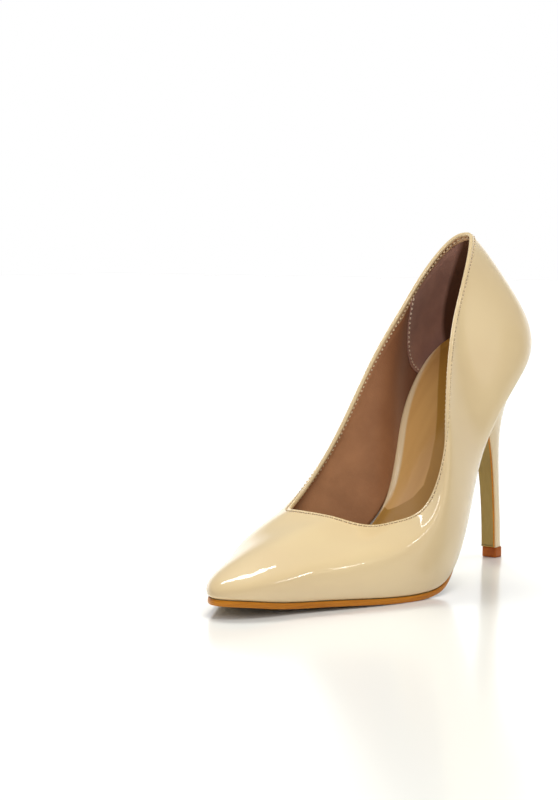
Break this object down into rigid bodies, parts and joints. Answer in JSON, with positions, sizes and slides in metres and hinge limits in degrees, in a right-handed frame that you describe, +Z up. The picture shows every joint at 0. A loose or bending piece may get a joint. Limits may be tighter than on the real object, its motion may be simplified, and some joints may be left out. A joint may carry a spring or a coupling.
{
  "type": "high heel pump",
  "caption": "Left pointed-toe pump in glossy nude patent with a tall covered stiletto heel, padded tan sock and thin leather sole.",
  "frame": {"origin": "centre of the heel tip's flat underside, on the ground", "axes": "+X from the heel to the toe, +Y to the wearer's left, which is the outer side of this left shoe, +Z up"},
  "size_m": [0.2222, 0.0844, 0.159],
  "materials": {
    "patent_leather": "high-gloss nude patent leather",
    "stiffener": "thermoplastic stiffener sheet, matt off-white",
    "interlining": "woven cotton interlining, matt",
    "reinforcing_tape": "nylon reinforcing tape, matt white",
    "vamp_lining_leather": "smooth lining leather, semi-matt brown",
    "heel_lining_leather": "brushed lining leather, mauve brown",
    "thread": "twisted polyester thread",
    "sock_leather": "smooth tan leather with a soft sheen",
    "foam": "soft latex foam",
    "board": "pressed fibre board, matt brown",
    "cork_filler": "ground cork filler",
    "shank_steel": "tempered steel",
    "sole_leather": "waxed sole leather, orange brown",
    "heel_plastic": "injection-moulded plastic",
    "pin_steel": "plain steel",
    "top_piece_rubber": "dense orange-brown rubber"
  },
  "bodies": {
    "root": {"upper": "patent_leather", "toe_puff": "stiffener", "vamp_interlining": "interlining", "lateral_interlining": "interlining", "medial_interlining": "interlining", "waist_interlining": "interlining", "heel_counter": "stiffener", "side_seam_tape": "reinforcing_tape", "topline_tape": "reinforcing_tape", "vamp_lining": "vamp_lining_leather", "heel_lining": "heel_lining_leather", "topline_stitches": "thread", "heel_lining_stitches": "thread", "heel_screw": "pin_steel", "heel_nails": "pin_steel", "shank_rivets": "pin_steel", "shank_board": "board", "insole_board": "board", "shank": "shank_steel", "bottom_filler": "cork_filler", "sock_foam": "foam", "sock_lining": "sock_leather", "outsole": "sole_leather", "heel_core": "heel_plastic", "heel_cover": "patent_leather", "heel_tube": "pin_steel", "top_piece_pin": "pin_steel", "top_piece": "top_piece_rubber"}
  },
  "joints": []
}
